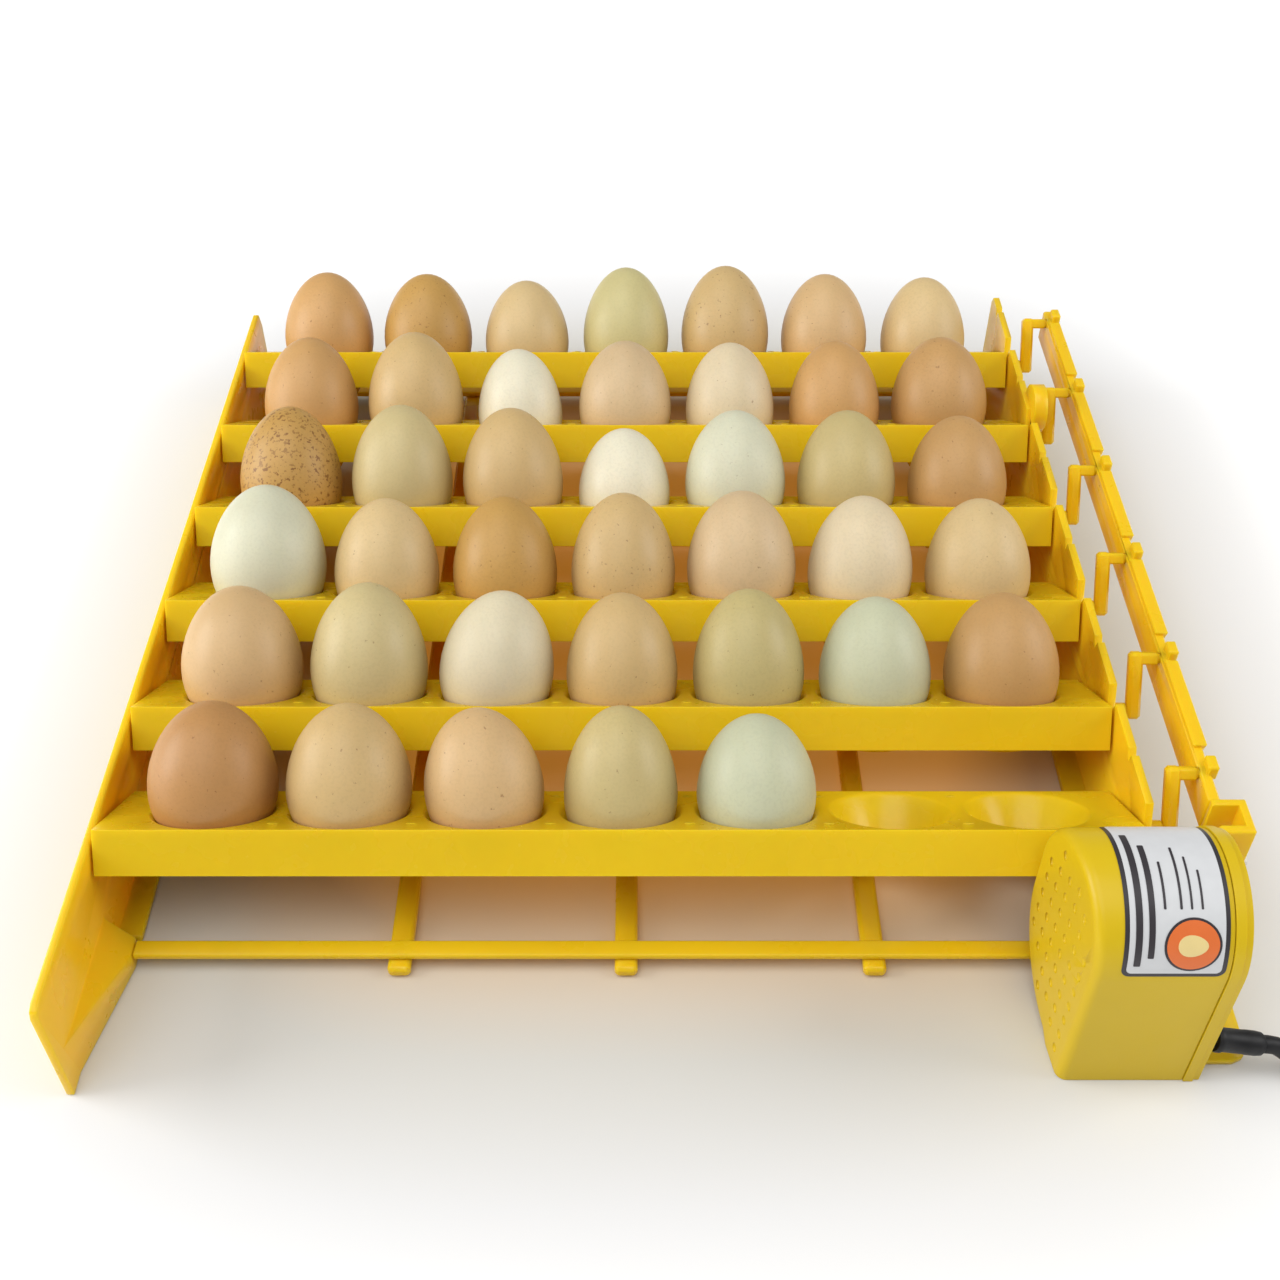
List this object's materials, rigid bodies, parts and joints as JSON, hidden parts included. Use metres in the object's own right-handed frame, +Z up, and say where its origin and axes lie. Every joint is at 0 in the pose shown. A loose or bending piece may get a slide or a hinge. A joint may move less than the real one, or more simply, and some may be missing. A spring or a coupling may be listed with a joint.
{
  "type": "automatic egg turner",
  "caption": "Motorised egg turner: tilting racks of eggs in a frame, rocked together by a drive bar and a crank from a small gear motor.",
  "frame": {"origin": "middle of the turner's footprint, on the table", "axes": "+Z up, +X along the racks towards the drive bar, +Y from the motor's end to the rear"},
  "size_m": [0.5855, 0.4352, 0.0886],
  "materials": {
    "rack_plastic": "glossy yellow moulded plastic",
    "frame_plastic": "glossy yellow moulded plastic",
    "motor_plastic": "satin yellow moulded plastic",
    "white_nylon": "white nylon",
    "label": "satin printed film",
    "steel": "zinc plated",
    "black_rubber": "black cable jacket",
    "brass_pins": "polished",
    "eggshell": "eggshell, different tints"
  },
  "bodies": {
    "frame": {"left_side_plate": "frame_plastic", "right_side_plate": "frame_plastic", "runner_left": "frame_plastic", "runner_middle": "frame_plastic", "runner_right": "frame_plastic", "front_crossbar": "frame_plastic", "middle_crossbar_1": "frame_plastic", "middle_crossbar_2": "frame_plastic", "rear_crossbar": "frame_plastic", "motor_foot": "frame_plastic", "motor_housing": "motor_plastic", "motor_cover": "motor_plastic", "motor_can": "steel", "gearbox_case": "steel", "rating_label": "label", "cover_screw_1": "steel", "cover_screw_2": "steel", "cover_screw_3": "steel", "cover_screw_4": "steel", "strain_relief": "black_rubber", "mains_lead": "black_rubber", "lead_coil": "black_rubber", "lead_tail": "black_rubber", "plug_body": "black_rubber", "plug_pin_left": "brass_pins", "plug_pin_right": "brass_pins"},
    "rack_1": {"egg_rack_1": "rack_plastic", "crank_arm_1": "frame_plastic", "egg_row_1": "eggshell"},
    "rack_2": {"egg_rack_2": "rack_plastic", "crank_arm_2": "frame_plastic", "egg_row_2": "eggshell"},
    "rack_3": {"egg_rack_3": "rack_plastic", "crank_arm_3": "frame_plastic", "egg_row_3": "eggshell"},
    "rack_4": {"egg_rack_4": "rack_plastic", "crank_arm_4": "frame_plastic", "egg_row_4": "eggshell"},
    "rack_5": {"egg_rack_5": "rack_plastic", "crank_arm_5": "frame_plastic", "egg_row_5": "eggshell"},
    "rack_6": {"egg_rack_6": "rack_plastic", "crank_arm_6": "frame_plastic", "egg_row_6": "eggshell"},
    "drive_bar": {"drive_bar": "frame_plastic", "drive_yoke": "frame_plastic"},
    "crank": {"output_crank": "white_nylon", "output_shaft": "steel"}
  },
  "joints": [
    {"name": "rack_1_tilt", "type": "hinge", "parent": "frame", "child": "rack_1", "pos_m": [-0.01775, -0.1225, 0.0369], "axis": [1, 0, 0], "range_deg": [0, 66.6]},
    {"name": "rack_2_tilt", "type": "hinge", "parent": "frame", "child": "rack_2", "pos_m": [-0.01775, -0.0625, 0.0369], "axis": [1, 0, 0], "range_deg": [-1, 67.6]},
    {"name": "rack_3_tilt", "type": "hinge", "parent": "frame", "child": "rack_3", "pos_m": [-0.01775, -0.0025, 0.0369], "axis": [1, 0, 0], "range_deg": [-1, 67.6]},
    {"name": "rack_4_tilt", "type": "hinge", "parent": "frame", "child": "rack_4", "pos_m": [-0.01775, 0.0575, 0.0369], "axis": [1, 0, 0], "range_deg": [-1, 67.6]},
    {"name": "rack_5_tilt", "type": "hinge", "parent": "frame", "child": "rack_5", "pos_m": [-0.01775, 0.1175, 0.0369], "axis": [1, 0, 0], "range_deg": [-1, 67.6]},
    {"name": "rack_6_tilt", "type": "hinge", "parent": "frame", "child": "rack_6", "pos_m": [-0.01775, 0.1775, 0.0369], "axis": [1, 0, 0], "range_deg": [-1, 67.6]},
    {"name": "drive_bar_swing", "type": "hinge", "parent": "rack_1", "child": "drive_bar", "pos_m": [-0.01775, -0.11097, 0.05445], "axis": [1, 0, 0], "range_deg": [-67.6, 1]},
    {"name": "crank_turn", "type": "hinge", "parent": "frame", "child": "crank", "pos_m": [-0.01775, -0.14573, 0.033], "axis": [1, 0, 0], "range_deg": [-3, 183]}
  ],
  "couplings": [
    {"joint": "rack_2_tilt", "follows": "rack_1_tilt", "ratio": 1},
    {"joint": "rack_3_tilt", "follows": "rack_1_tilt", "ratio": 1},
    {"joint": "rack_4_tilt", "follows": "rack_1_tilt", "ratio": 1},
    {"joint": "rack_5_tilt", "follows": "rack_1_tilt", "ratio": 1},
    {"joint": "rack_6_tilt", "follows": "rack_1_tilt", "ratio": 1},
    {"joint": "drive_bar_swing", "follows": "rack_1_tilt", "ratio": -1},
    {"joint": "crank_turn", "follows": "rack_1_tilt", "ratio": 2.7027}
  ]
}
